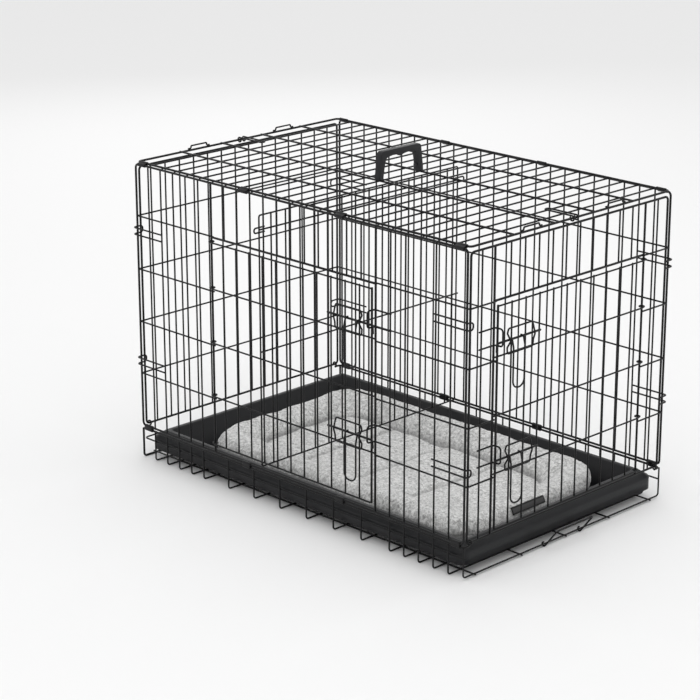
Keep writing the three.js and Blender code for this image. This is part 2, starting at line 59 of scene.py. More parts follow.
# %% Sizes
THIN = 1.7 * MM  # radius of the filler wires
RAIL = 2.25 * MM  # radius of rails, posts and bolts
BAR = 2.0 * MM  # radius of the lengthwise wires of the top
SQUARE = 2.0 * MM  # half the side of a square rail in the solid model
PRESS = 0.3 * MM  # how far crossing wires sink into each other at a weld
LAYER = 2 * THIN - PRESS  # between the middles of two crossing filler wires
BEND = 8 * MM  # usual inside bend

front_low, front_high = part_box("front_panel")
top_low, top_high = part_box("top_panel")
end_low, end_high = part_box("right_end_panel")
tray_low, tray_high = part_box("tray")
mat_low, mat_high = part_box("mat")
for corner in (mat_low, mat_high):
    corner.y += 9 * MM  # the mat lies towards the back of the tray

HALF_X = front_high.x - SQUARE
HALF_Y = -front_low.y - SQUARE
SIDE_FOOT = front_low.z + SQUARE
SIDE_TOP = front_high.z - SQUARE
SIDE_TALL = SIDE_TOP - SIDE_FOOT
SIDE_RAIL = SIDE_TOP - 3 * MM  # so that the top's edge wire stands clear above it
LONG_BAYS = 24
END_BAYS = 15
LONG_PITCH = 2 * HALF_X / LONG_BAYS
END_PITCH = 2 * HALF_Y / END_BAYS
LEVELS = [SIDE_FOOT + share * SIDE_TALL for share in (0.2, 0.4, 0.6, 0.8)]
LINTEL = LEVELS[3]


def bay_x(k):
    """X of the k-th upright of a long side: evenly spaced from the left corner to the right one."""
    return -HALF_X + k * LONG_PITCH


def bay_y(j):
    """Y of the j-th upright of an end: evenly spaced from the front corner to the back one."""
    return -HALF_Y + j * END_PITCH


print("crate %.3f x %.3f m, sides %.3f m tall" % (2 * HALF_X, 2 * HALF_Y, SIDE_TALL))

# %% [markdown]
# ## Wire
# A wire is a circle carried along a path. Blender could do it with a bevelled curve for each wire,
# but hundreds of curve objects are slow and hard to keep tidy. Here each path is a short array of
# points, every ring of the tube is worked out at once, and the wires of one welded panel end up in
# one mesh, because that is how the real panel moves.
# Two things make wire look like wire: bends are arcs, never sharp corners, and cut ends are
# slightly rounded, because the coating pools there.

# %% Paths and tubes
SIDES = 12


def unit(v):
    """Each row divided by its own length."""
    return v / np.linalg.norm(v, axis=-1, keepdims=True)


def grid_faces(rows, columns, round_rows=False, round_columns=True):
    """Quads between the points of a grid, numbered row by row. Each runs from a point to the one beside
    it, on to the next row and back. Round rows or columns join the last to the first."""
    i = np.arange(rows if round_rows else rows - 1)[:, None]
    j = np.arange(columns if round_columns else columns - 1)[None, :]
    here, there, beside = i * columns, (i + 1) % rows * columns, (j + 1) % columns
    return np.stack([here + j, here + beside, there + beside, there + j], -1).reshape(-1, 4)


def bend(points, radius=BEND, steps=6, closed=False):
    """A polyline with each inner corner rounded. At a corner P with unit directions a and b to its
    neighbours and half the angle h between them, the arc's middle lies at P + r / sin h along a + b,
    and the arc starts r / tan h from P. The arc is drawn by turning from one radius to the other."""
    p = np.asarray(points, float)
    before = np.roll(p, 1, axis=0) if closed else p[:-2]
    after = np.roll(p, -1, axis=0) if closed else p[2:]
    corner = p if closed else p[1:-1]
    a, b = before - corner, after - corner
    room = 0.49 * np.minimum(np.linalg.norm(a, axis=1), np.linalg.norm(b, axis=1))
    a, b = unit(a), unit(b)
    half = 0.5 * np.arccos(np.clip((a * b).sum(1), -1, 1))
    r = np.minimum(radius, room * np.tan(half))[:, None]
    middle = corner + unit(a + b) * r / np.sin(half)[:, None]
    start = corner + a * r / np.tan(half)[:, None] - middle
    end = corner + b * r / np.tan(half)[:, None] - middle
    whole = (math.pi - 2 * half)[:, None]
    t = np.linspace(0, 1, steps + 1)[None, :]
    from_start = np.sin((1 - t) * whole) / np.sin(whole)
    from_end = np.sin(t * whole) / np.sin(whole)
    arcs = middle[:, None] + from_start[..., None] * start[:, None] + from_end[..., None] * end[:, None]
    arcs = arcs.reshape(-1, 3)
    return arcs if closed else np.vstack([p[:1], arcs, p[-1:]])


def tube(path, radius, closed=False):
    """Vertices and faces of a wire: at each path point a circle in the plane across the path. The
    plane's two directions come from crossing the tangent with one slanted vector that no wire follows.
    At an open end two smaller circles round the cut."""
    p = np.asarray(path, float)
    if closed:
        step = unit(np.roll(p, -1, axis=0) - p)
        tangent = unit(step + np.roll(step, 1, axis=0))
        radii = np.full(len(p), radius)
    else:
        step = unit(np.diff(p, axis=0))
        tangent = unit(np.vstack([step[:1], step[1:] + step[:-1], step[-1:]]))
        cut = 0.45 * radius
        p = np.vstack([p[:1], p[:1] + tangent[:1] * cut, p[1:-1], p[-1:] - tangent[-1:] * cut, p[-1:]])
        tangent = np.vstack([tangent[:1], tangent, tangent[-1:]])
        radii = np.full(len(p), radius)
        radii[[0, -1]] *= 0.66
    side = unit(np.cross(tangent, (0.53, 0.61, 0.59)))
    up = np.cross(tangent, side)
    turn = np.arange(SIDES) * 2 * math.pi / SIDES
    ring = np.cos(turn)[None, :, None] * side[:, None] + np.sin(turn)[None, :, None] * up[:, None]
    verts = (p[:, None] + ring * radii[:, None, None]).reshape(-1, 3)
    faces = grid_faces(len(p), SIDES, round_rows=closed).tolist()
    if not closed:
        last = (len(p) - 1) * SIDES
        faces += [list(range(SIDES))[::-1], list(range(last, last + SIDES))]
    return verts, faces


def rod(a, b, radius=THIN):
    """A straight cut wire from a to b."""
    return tube([a, b], radius)


def curl(middle, axis, start, turn, radius):
    """Points of an arc round an axis: start is the arm from the middle to its first point, turned
    about the axis by up to turn degrees (Rodrigues' formula with the arm across the axis)."""
    axis = unit(np.asarray(axis, float))
    arm = unit(np.asarray(start, float))
    angle = np.radians(np.linspace(0, turn, max(4, int(abs(turn) / 15))))[:, None]
    return np.asarray(middle) + radius * (np.cos(angle) * arm + np.sin(angle) * np.cross(axis, arm))


def make(name, shapes, material, body, *nodes, slot="wire"):
    """One object from several (vertices, faces) shapes, riding on a body and standing for CAD nodes."""
    verts = np.vstack([v for v, _ in shapes])
    starts = np.cumsum([0] + [len(v) for v, _ in shapes[:-1]])
    faces = [[i + int(s) for i in f] for s, (_, fs) in zip(starts, shapes) for f in fs]
    mesh = bpy.data.meshes.new(name)
    mesh.from_pydata(verts.tolist(), [], faces)
    mesh.polygons.foreach_set("use_smooth", np.full(len(faces), True))
    mesh.materials.append(material)
    mesh.update()
    piece = bpy.data.objects.new(name, mesh)
    bpy.context.scene.collection.objects.link(piece)
    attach(piece, body)
    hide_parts(*nodes)
    print("%-28s %6d faces" % (name, len(faces)))
    return piece


# %% [markdown]
# ## Finishes
# Six finishes cover the crate: the black dip on the wire, the same black on pressed steel, the tray's
# thin sheet, the moulded handle, the fleece, and the woven label. The four hard ones share the same
# small marks: a faint cloudiness and scuffs that change the gloss, and a fine grain that a Bump node
# turns into relief. That effect is built once as a node group with named inputs, and each material
# gives it its own values. Its patterns read Object coordinates, so they stay fixed in the steel when
# a door swings. Three short functions do what every material needs.


# %% Building with nodes
def add(tree, kind, values=None, **settings):
    """A shader node of one kind: its settings first, because they choose the sockets, then values."""
    node = tree.nodes.new("ShaderNode" + kind)
    for name, value in settings.items():
        setattr(node, name, value)
    for name, value in (values or {}).items():
        node.inputs[name].default_value = value
    return node


def join(tree, *links):
    """Links, each given as a node, its output, the next node and its input."""
    for source, out, target, into in links:
        tree.links.new(source.outputs[out], target.inputs[into])


def new_material(name, values):
    """A material, its tree and its Principled shader, with constants on the shader's own sockets."""
    material = bpy.data.materials.new(name)
    material.use_nodes = True
    shader = material.node_tree.nodes["Principled BSDF"]
    for socket, value in values.items():
        shader.inputs[socket].default_value = value
    return material, material.node_tree, shader


# %% The shared effect: marks and grain
def surface_marks():
    """A node group. Scuffs is a mask from a cloudy noise, sharpened between two limits. Grain is a
    height: fine noise for orange peel and cells for leather grain, mixed by the Leather input."""
    group = bpy.data.node_groups.new("surface_marks", "ShaderNodeTree")
    socket = group.interface.new_socket
    defaults = {"Scuff Scale": 30.0, "Scuff Amount": 0.3, "Grain Scale": 900.0, "Leather": 0.0}
    for name, value in defaults.items():
        socket(name, in_out="INPUT", socket_type="NodeSocketFloat").default_value = value
    for name in ("Scuffs", "Grain"):
        socket(name, in_out="OUTPUT", socket_type="NodeSocketFloat")
    inputs, outputs = group.nodes.new("NodeGroupInput"), group.nodes.new("NodeGroupOutput")
    place = add(group, "TexCoord")
    cloud = add(group, "TexNoise", {"Detail": 6, "Roughness": 0.65})
    limits = add(group, "MapRange", {"From Min": 0.45, "From Max": 0.75})
    amount = add(group, "Math", operation="MULTIPLY")
    fine = add(group, "TexNoise", {"Detail": 3})
    cells = add(group, "TexVoronoi", feature="SMOOTH_F1")
    mix = add(group, "Mix")
    for noise, scale in ((cloud, "Scuff Scale"), (fine, "Grain Scale"), (cells, "Grain Scale")):
        join(group, (place, "Object", noise, "Vector"), (inputs, scale, noise, "Scale"))
    join(
        group,
        (cloud, "Fac", limits, "Value"), (limits, "Result", amount, 0), (inputs, "Scuff Amount", amount, 1),
        (inputs, "Leather", mix, "Factor"), (fine, "Fac", mix, "A"), (cells, "Distance", mix, "B"),
        (amount, "Value", outputs, "Scuffs"), (mix, "Result", outputs, "Grain"))
    return group


MARKS = surface_marks()


# %% One recipe for the hard finishes
def hard_finish(name, colour, worn, rough, rough_worn, scale, scuffs, grain, leather, relief, specular):
    """A Principled material whose colour and roughness move from fresh to worn with the scuff mask,
    and whose normal comes from the grain."""
    material, tree, shader = new_material(name, {"Specular IOR Level": specular})
    marks = add(tree, "Group", {
        "Scuff Scale": scale, "Scuff Amount": scuffs,
        "Grain Scale": grain, "Leather": leather}, node_tree=MARKS)
    tint = add(tree, "Mix", {"A": (*colour, 1), "B": (*worn, 1)}, data_type="RGBA")
    gloss = add(tree, "MapRange", {"To Min": rough, "To Max": rough_worn})
    bump = add(tree, "Bump", {"Strength": relief, "Distance": 0.3 * MM})
    join(
        tree,
        (marks, "Scuffs", tint, "Factor"), (marks, "Scuffs", gloss, "Value"),
        (marks, "Grain", bump, "Height"),
        (tint, "Result", shader, "Base Color"), (gloss, "Result", shader, "Roughness"),
        (bump, "Normal", shader, "Normal"))
    return material


black_dip = hard_finish(
    "black_dip", (0.0035, 0.0035, 0.004), (0.012, 0.012, 0.0125), 0.38, 0.6,
    scale=45, scuffs=0.6, grain=900, leather=0, relief=0.25, specular=0.22)
pressed_steel = hard_finish(
    "pressed_steel", (0.004, 0.004, 0.0045), (0.014, 0.014, 0.015), 0.42, 0.62,
    scale=90, scuffs=0.9, grain=1200, leather=0, relief=0.35, specular=0.25)
tray_sheet = hard_finish(
    "tray_sheet", (0.006, 0.0063, 0.0075), (0.013, 0.0135, 0.0155), 0.42, 0.62,
    scale=14, scuffs=0.6, grain=420, leather=1, relief=0.35, specular=0.3)
moulded_grip = hard_finish(
    "moulded_grip", (0.010, 0.010, 0.012), (0.024, 0.024, 0.027), 0.45, 0.62,
    scale=60, scuffs=0.6, grain=1100, leather=0.4, relief=0.5, specular=0.35)
print("hard finishes:", [m.name for m in (black_dip, pressed_steel, tray_sheet, moulded_grip)])

# %% [markdown]
# ## Side panels
# Each long side is a rectangle of thick wire with rounded corners, filled with thin uprights. The
# level wires are welded on the inside, so that the outside has only uprights for a paw to meet.
# The frame is one closed path, and the rest are straight rods. In the front panel the uprights stop
# at the lintel above the doorway.

# %% Long sides
HINGE_BAY, JAMB_BAY = 6, 18


def frame_loop(corners, radius=RAIL, corner=BEND):
    """A closed rectangle of thick wire with bent corners."""
    return tube(bend(corners, corner, closed=True), radius, closed=True)


def long_side(name, side, has_door):
    """Frame loop in the plane y = side * HALF_Y, uprights between its rails, levels on the inside."""
    y = side * HALF_Y
    inner = side * (HALF_Y - LAYER - PRESS)
    shapes = [frame_loop([
        (-HALF_X, y, SIDE_FOOT), (HALF_X, y, SIDE_FOOT), (HALF_X, y, SIDE_RAIL), (-HALF_X, y, SIDE_RAIL)])]
    posts = (HINGE_BAY, JAMB_BAY) if has_door else ()
    for k in range(1, LONG_BAYS):
        above_door = has_door and HINGE_BAY < k < JAMB_BAY
        foot = LINTEL if above_door else SIDE_FOOT
        thick = RAIL if k in posts else THIN
        shapes.append(rod((bay_x(k), y, foot - 0.5 * THIN), (bay_x(k), y, SIDE_RAIL + 0.5 * THIN), thick))
    if has_door:
        shapes.append(rod((bay_x(HINGE_BAY), y, LINTEL), (bay_x(JAMB_BAY), y, LINTEL), RAIL))
    stretches = [(-HALF_X, bay_x(HINGE_BAY)), (bay_x(JAMB_BAY), HALF_X)] if has_door else [(-HALF_X, HALF_X)]
    for z in LEVELS:
        for low, high in stretches:
            shapes.append(rod((low - RAIL, inner, z), (high + RAIL, inner, z)))
    return make(name.replace("panel", "grille"), shapes, black_dip, "crate", name)


long_side("front_panel", -1, True)
long_side("back_panel", 1, False)

# %% [markdown]
# ## End panels
# The ends are a little narrower and lower than the sides, because they fold inwards between them.
# Their level wires lie on the outside. The right one has a doorway of its own.

# %% Ends
END_POST = end_high.y - SQUARE
END_TOP = end_high.z - SQUARE
END_HINGE = bay_y(13)
END_JAMB = bay_y(2) - 5 * MM


def end_grille(name, body, end, has_door):
    """Frame loop in the plane x = end * HALF_X, uprights inside it, levels on the outside."""
    x = end * HALF_X
    outer = end * (HALF_X + LAYER + PRESS)
    shapes = [frame_loop([
        (x, -END_POST, SIDE_FOOT), (x, END_POST, SIDE_FOOT),
        (x, END_POST, END_TOP), (x, -END_POST, END_TOP)])]
    for j in range(1, END_BAYS):
        is_post = has_door and j in (2, 13)
        above_door = has_door and 2 < j < 13
        y = END_JAMB if has_door and j == 2 else bay_y(j)
        foot = LINTEL if above_door else SIDE_FOOT
        thick = RAIL if is_post else THIN
        shapes.append(rod((x, y, foot - 0.5 * THIN), (x, y, END_TOP + 0.5 * THIN), thick))
    if has_door:
        shapes.append(rod((x, END_JAMB, LINTEL), (x, END_HINGE, LINTEL), RAIL))
    edge = END_POST + RAIL
    stretches = [(-edge, END_JAMB + RAIL), (END_HINGE - RAIL, edge)] if has_door else [(-edge, edge)]
    for z in LEVELS:
        for low, high in stretches:
            shapes.append(rod((outer, low, z), (outer, high, z)))
    return make(name.replace("panel", "grille"), shapes, black_dip, body, name)


end_grille("left_end_panel", "left_end", -1, False)
end_grille("right_end_panel", "right_end", 1, True)

# %% [markdown]
# ## Doors
# A door is a small grille that hangs outside the panel. Its level wires curl round the hinge post at
# one side, which is the whole hinge, and run a little past the jamb post at the other side, where
# they stop the door from swinging inwards. The door's own places are easiest to give as u along the
# door, n outwards and z up, so one function draws both doors and two short ones place them.

# %% Door planes
EDGE_GAP = 8 * MM
EDGE_X = bay_x(JAMB_BAY) - EDGE_GAP
EDGE_Y = END_JAMB + EDGE_GAP
STANDOFF = 4.2 * MM
RISE = 9 * MM
PAST_JAMB = 5.5 * MM


def on_front_door(u, n, z):
    """u from the door's free edge towards the jamb, n outwards from the door's uprights."""
    return (EDGE_X + u, -HALF_Y - STANDOFF - n, z)


def on_end_door(u, n, z):
    """The same for the door in the right end."""
    return (HALF_X + STANDOFF + n, EDGE_Y - u, z)


# %% Door grilles
CURL = 4.7 * MM  # middle of the curled wire to the middle of the hinge post


def door_level(at, span, z, n, reach):
    """A level wire with an eye at its hinge end: straight from the jamb side to above the post, then
    round the post by 300 degrees."""
    post = np.array(at(-span, -STANDOFF, z))
    outwards = np.array(at(0, 1, 0)) - np.array(at(0, 0, 0))
    along = np.array(at(1, 0, 0)) - np.array(at(0, 0, 0))
    axis = np.cross(outwards, -along)
    eye = curl(post, axis, outwards, 300, CURL)
    eye[:, 2] += np.linspace(0, 0.6 * MM, len(eye))
    lead = np.array(at(-span + 9 * MM, n, z))
    return tube(np.vstack([at(reach, n, z), lead, eye]), THIN)


def door_grille(name, body, at, span, pitch, foot):
    """Uprights at n = 0, the free edge in thick wire, top and bottom wires and three levels outside."""
    heights = [foot] + [z + RISE for z in LEVELS[:3]] + [LINTEL - RISE]
    low, high = heights[0] - THIN, heights[-1] + THIN
    shapes = [rod(at(2.5 * MM, 0, low), at(2.5 * MM, 0, high), RAIL)]
    for k in range(1, int(round(span / pitch))):
        shapes.append(rod(at(k * pitch - span, 0, low), at(k * pitch - span, 0, high)))
    for i, z in enumerate(heights):
        outermost = i in (0, 4)
        n = LAYER if not outermost else LAYER - 0.6 * MM
        reach = 2.5 * MM if outermost else EDGE_GAP + PAST_JAMB
        shapes.append(door_level(at, span, z, n, reach))
    return make(name + "_grille", shapes, black_dip, body, name)


front_span = EDGE_X - bay_x(HINGE_BAY)
end_span = END_HINGE - EDGE_Y
door_grille("front_door", "front_door", on_front_door, front_span, LONG_PITCH, SIDE_FOOT + 19 * MM)
door_grille("end_door", "end_door", on_end_door, end_span, END_PITCH, SIDE_FOOT + 10 * MM)

# %% [markdown]
# ## Latches
# Each of the four latches is three bent wires. A bracket is welded to the door; its sides pinch in to a
# waist that bulges outwards round the bolt. The bolt is a straight wire with a bent-down tip, and
# a long loop welded to it is what a finger lifts. The keeper is a hairpin on the jamb post.

# %% Latch parts
BRACKET_U = (-88 * MM, -18 * MM)
BRACKET_TALL = 48 * MM
BRACKET_N = 6.6 * MM
WAIST_N = 13 * MM
BOLT_U = (-108 * MM, 12 * MM)
BOLT_N = 8 * MM
BOLT_H = 27 * MM
TIP = 17 * MM
PULL_U = (-54 * MM, -23 * MM)
PULL_N = 17 * MM
PULL_DROP = 92 * MM
KEEPER_H = (22 * MM, 55 * MM)
KEEPER_REACH = 22 * MM
KEEPER_TAIL = 44 * MM


def bracket(at, z0):
    """Two level wires joined by two sides. Each side bulges outwards at the bolt's height, so that its
    waist passes outside the bolt and holds it against the door."""
    low, high = BRACKET_U
    waist = BOLT_H - 1 * MM
    pinch = 1.5 * MM
    loop = [
        at(low, BRACKET_N, z0), at(high, BRACKET_N, z0),
        at(high + 1 * MM, BRACKET_N, z0 + 12 * MM), at(high - pinch, WAIST_N, z0 + waist),
        at(high + 1 * MM, BRACKET_N, z0 + 39 * MM), at(high - 2 * MM, BRACKET_N, z0 + BRACKET_TALL),
        at(low + 2 * MM, BRACKET_N, z0 + BRACKET_TALL), at(low - 1 * MM, BRACKET_N, z0 + 39 * MM),
        at(low + pinch, WAIST_N, z0 + waist), at(low - 1 * MM, BRACKET_N, z0 + 12 * MM)]
    return [tube(bend(loop, 4.5 * MM, closed=True), THIN, closed=True)]


def bolt(at, z0):
    """A thick straight wire with its tip bent down, and the pull: a long U of thin wire whose two
    ends curl over the bolt."""
    z = z0 + BOLT_H
    foot = z - PULL_DROP
    low, high = PULL_U
    left, right = BOLT_U
    over = z + RAIL + 0.3 * MM
    shaft = bend([at(left, BOLT_N, z), at(right, BOLT_N, z), at(right + MM, BOLT_N, z - TIP)], 5 * MM)
    down = ((BOLT_N - RAIL, over), (PULL_N - 4 * MM, over), (PULL_N, z - 14 * MM), (PULL_N, foot))
    pull = bend([at(low, *step) for step in down] + [at(high, *step) for step in down[::-1]], 14 * MM, 8)
    return [tube(shaft, RAIL), tube(pull, THIN)]


def keeper(at, z0):
    """A hairpin: along the panel, outwards past the jamb post, up and back again."""
    low, high = (z0 + h for h in KEEPER_H)
    foot = RAIL + THIN - PRESS - STANDOFF
    reach = KEEPER_REACH - STANDOFF
    u = EDGE_GAP
    return [tube(bend([
        at(u + KEEPER_TAIL, foot, low), at(u, foot, low), at(u, reach, low),
        at(u, reach, high), at(u, foot, high), at(u + KEEPER_TAIL, foot, high)], 6 * MM), THIN)]


for side, at, door_body, post_body in (
    ("front", on_front_door, "front_door", "crate"), ("end", on_end_door, "end_door", "right_end")):
    for height, level in (("lower", LEVELS[0]), ("upper", LEVELS[2])):
        z0 = level + RISE
        stem = "%s_%s_" % (side, height)
        make(stem + "bracket_wire", bracket(at, z0), black_dip, door_body, stem + "latch_bracket")
        make(stem + "bolt_wire", bolt(at, z0), black_dip, stem + "bolt", stem + "latch_bolt")
        make(stem + "keeper_wire", keeper(at, z0), black_dip, post_body, stem + "latch_keeper")

# %% [markdown]
# ## Top
# The top has thick wires lengthwise and thin ones across, pressed into each other where they cross.
# The staples and the two swinging hooks on its end wires keep the ends folded or upright.

# %% Top grille
TOP_EDGE_Y = top_high.y - SQUARE
EDGE_Z = SIDE_TOP + 0.5 * MM
CROSS_Z = EDGE_Z - 2.2 * MM
BARS_Y = (57 * MM, 170 * MM)
BAR_Z = CROSS_Z + THIN + BAR - PRESS

top_shapes = [frame_loop([
    (-HALF_X, -TOP_EDGE_Y, EDGE_Z), (HALF_X, -TOP_EDGE_Y, EDGE_Z),
    (HALF_X, TOP_EDGE_Y, EDGE_Z), (-HALF_X, TOP_EDGE_Y, EDGE_Z)])]
for k in range(1, LONG_BAYS):
    top_shapes.append(rod((bay_x(k), -TOP_EDGE_Y - THIN, CROSS_Z), (bay_x(k), TOP_EDGE_Y + THIN, CROSS_Z)))
for y in BARS_Y:
    for side in (-1, 1):
        top_shapes.append(rod((-HALF_X - RAIL, side * y, BAR_Z), (HALF_X + RAIL, side * y, BAR_Z), BAR))
make("top_grille", top_shapes, black_dip, "crate", "top_panel")
print("top edge %.4f, bars %.4f" % (EDGE_Z, BAR_Z))

# %% Staples and hooks on the top's end wires
TAB_Y, TAB_WIDE, TAB_TALL = 120 * MM, 43 * MM, 8.5 * MM
HOOK_REACH, HOOK_HALF = 68 * MM, 6 * MM
EYE = 4.6 * MM

for hand, end in (("left", -1), ("right", 1)):
    x = end * HALF_X
    for word, side in (("front", -1), ("back", 1)):
        node = "top_%s_%s_tab" % (hand, word)
        foot = EDGE_Z + RAIL + THIN - PRESS
        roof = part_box(node)[1].z - THIN
        low, high = side * TAB_Y - TAB_WIDE / 2, side * TAB_Y + TAB_WIDE / 2
        path = bend([
            (x, low - 8 * MM, foot), (x, low, foot), (x, low, roof),
            (x, high, roof), (x, high, foot), (x, high + 8 * MM, foot)], 3 * MM)
        make(node + "_wire", [tube(path, THIN)], black_dip, "crate", node)
    prong = EDGE_Z + EYE
    eyes = [curl((x, s * HOOK_HALF, EDGE_Z), (0, end, 0), (0, 0, 1), 300, EYE) for s in (-1, 1)]
    far = x - end * HOOK_REACH
    middle = [(far, -HOOK_HALF, prong), (far, HOOK_HALF, prong)]
    lead = x - end * 6 * MM
    arms = bend([(lead, -HOOK_HALF, prong), *middle, (lead, HOOK_HALF, prong)], 5 * MM)
    path = np.vstack([eyes[0][::-1], arms, eyes[1]])
    node = hand + "_end_hook"
    make(node + "_wire", [tube(path, THIN)], black_dip, hand + "_hook", node)

# %% [markdown]
# ## Hinge sleeves
# The long edges are hinged by short sleeves of sheet steel, crimped round two rails at once. A crimped
# sleeve is not a box: it hugs both wires, so across it looks like a stadium with a slight waist, and
# its edges show the thickness of the sheet. The section is worked out as the outline round two circles,
# carried along X, and given a wall on the inside.

# %% Sleeves
SHEET = 0.9 * MM
SLACK = 0.35 * MM  # between a rail and the sleeve's inside wall
TURNED = [0, 3, 2, 1]  # the corners of a quad the other way round


def sleeve(node, rail_a, rail_b):
    """Outline round two circles in the Y-Z plane: half a turn round each, with the straight flanks
    between them drawn in by a cosine waist. The grid is outline by length; the same grid drawn
    smaller is the inside wall, and two rims join them."""
    low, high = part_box(node)
    a, b = np.array(rail_a, float), np.array(rail_b, float)
    along = unit(b - a)
    across = np.array([-along[1], along[0]])
    half = np.linspace(0, math.pi, 10)
    flank = np.linspace(0, 1, 7)[1:-1]

    def outline(r):
        """Points of one wall at distance r from the two rails' middles."""
        cap_b = b + r * (np.cos(half)[:, None] * across + np.sin(half)[:, None] * along)
        cap_a = a - r * (np.cos(half)[:, None] * across + np.sin(half)[:, None] * along)
        waist = (r - 0.5 * MM * np.sin(math.pi * flank))[:, None] * across
        down = b + flank[:, None] * (a - b) - waist
        back = a + flank[:, None] * (b - a) + waist
        return np.vstack([cap_b, down, cap_a, back])

    xs = np.array([low.x, low.x + 0.5 * MM, high.x - 0.5 * MM, high.x])
    flare = np.array([0.0, 0.12, 0.12, 0.0]) * MM
    rings = []
    for wall in (RAIL + SLACK + SHEET, RAIL + SLACK):
        for x, f in zip(xs, flare):
            yz = outline(wall + f)
            rings.append(np.column_stack([np.full(len(yz), x), yz]))
    order = [0, 1, 2, 3, 7, 6, 5, 4]
    grid = np.array([rings[i] for i in order])
    faces = grid_faces(*grid.shape[:2], round_rows=True)[:, TURNED]
    if np.cross(across, along) < 0:
        faces = faces[:, ::-1]
    return grid.reshape(-1, 3), faces.tolist()


BASE_RAIL = 65.5 * MM
for word, side in (("front", -1), ("back", 1)):
    y = side * HALF_Y
    for i in (1, 2, 3, 4):
        lower, upper = "base_%s_hinge_sleeve_%d" % (word, i), "top_%s_hinge_sleeve_%d" % (word, i)
        low_shape = sleeve(lower, (y, BASE_RAIL), (y, SIDE_FOOT))
        top_shape = sleeve(upper, (y, SIDE_RAIL), (side * TOP_EDGE_Y, EDGE_Z))
        make(lower + "_sheet", [low_shape], pressed_steel, "crate", lower, slot="sleeve")
        make(upper + "_sheet", [top_shape], pressed_steel, "crate", upper, slot="sleeve")

# %% [markdown]
# ## Corner catches
# When the ends are stood up, hairpins welded to the sides snap round them. Each one runs along the side
# panel, turns the corner and comes back 14 mm higher, so its path turns in two planes.

# %% Catches
CATCH_HALF = 7 * MM
CATCH_WRAP = 20 * MM
SHORT_WRAP = 8 * MM  # at the front right post
CATCH_SHARES = (("lower", 0.25), ("upper", 0.745))  # of the side's height

for word, side in (("front", -1), ("back", 1)):
    for hand, end in (("left", -1), ("right", 1)):
        for height, share in CATCH_SHARES:
            node = "%s_%s_%s_catch" % (word, hand, height)
            z = SIDE_FOOT + share * SIDE_TALL
            y = side * (HALF_Y + RAIL + THIN)
            x = end * (HALF_X + 8.1 * MM)
            tail = end * (HALF_X - 2 * LONG_PITCH - 4 * MM)
            wrap = side * (HALF_Y - (SHORT_WRAP if (word, hand) == ("front", "right") else CATCH_WRAP))
            path = bend([
                (tail, y, z - CATCH_HALF), (x, y, z - CATCH_HALF), (x, wrap, z - CATCH_HALF),
                (x, wrap, z + CATCH_HALF), (x, y, z + CATCH_HALF), (tail, y, z + CATCH_HALF)], 6 * MM)
            make(node + "_wire", [tube(path, THIN)], black_dip, "crate", node)

# %% [markdown]
# ## Base
# The base is one shallow basket. Every hoop goes up one side, across the floor and up the other side
# in a single bent wire, which the solid model has to cut into floor and skirts. Here the four nodes
# become one piece again. A mid wire runs round the front, the left end and the back, and the right
# end is left low so the tray can slide out over it.

# %% Base basket
MID_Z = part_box("base_left_end_wire")[0].z + THIN
RUN_Z = 5.6 * MM
HOOP_BEND = 6 * MM
RUNNER_END = 5 * MM

hoops = [k for k in range(1, LONG_BAYS) if k < 6 or k > 18 or k % 2]
base_shapes = []
for k in hoops:
    x = bay_x(k)
    path = bend([
        (x, -HALF_Y, BASE_RAIL), (x, -HALF_Y, THIN), (x, HALF_Y, THIN), (x, HALF_Y, BASE_RAIL)], HOOP_BEND)
    base_shapes.append(tube(path, THIN))
for end, floor_z, radius in ((-1, RAIL, RAIL), (1, RUN_Z, THIN)):
    x = end * HALF_X
    path = bend([
        (x, -HALF_Y, BASE_RAIL), (x, -HALF_Y, floor_z),
        (x, HALF_Y, floor_z), (x, HALF_Y, BASE_RAIL)], HOOP_BEND)
    base_shapes.append(tube(path, radius))
for side in (-1, 1):
    y = side * HALF_Y
    eye_y = side * (HALF_Y - 17 * MM)
    for end in (-1, 1):
        eye = curl((end * HALF_X, eye_y, SIDE_FOOT), (0, end, 0), (0, 0, -1), 300, EYE)
        base_shapes.append(tube(eye, THIN))
    rail = bend([
        (-HALF_X, eye_y, BASE_RAIL), (-HALF_X, y, BASE_RAIL),
        (HALF_X, y, BASE_RAIL), (HALF_X, eye_y, BASE_RAIL)], BEND)
    base_shapes.append(tube(rail, RAIL))
inside = HALF_Y - LAYER
mid = bend([(HALF_X + RAIL, -inside, MID_Z), (-HALF_X, -inside, MID_Z),
            (-HALF_X, inside, MID_Z), (HALF_X + RAIL, inside, MID_Z)], BEND)
base_shapes.append(tube(mid, THIN))
for y in (-260 * MM, -130 * MM, 0.0, 130 * MM, 260 * MM):
    z = 2 * THIN + THIN - PRESS
    base_shapes.append(rod((-HALF_X - RUNNER_END, y, z), (HALF_X + RUNNER_END, y, z)))
make("base_basket", base_shapes, black_dip, "crate",
     "base_floor_grid", "base_front_skirt", "base_back_skirt", "base_left_end_wire")

# %% [markdown]
# ## Tray stop
# A bent U hangs on the right end wire by its two curled ends. Leaning outwards it lets nothing pass;
# folded flat it lets the tray slide out.

# %% Tray stop
STOP_Y = (-62 * MM, 44 * MM)
STOP_TALL = 48 * MM
STOP_LEAN = math.radians(38)
stop_pivot = np.array([HALF_X, 0, RUN_Z])
stop_up = np.array([math.sin(STOP_LEAN), 0, math.cos(STOP_LEAN)])
stop_out = np.array([math.cos(STOP_LEAN), 0, -math.sin(STOP_LEAN)])
stop_arm = 2 * THIN + 0.5 * MM


def on_stop(y, height):
    """A place on the flap: its wires stand one arm outside the pivot, leaning with the flap."""
    return stop_pivot + (0, y, 0) + stop_out * stop_arm + stop_up * height


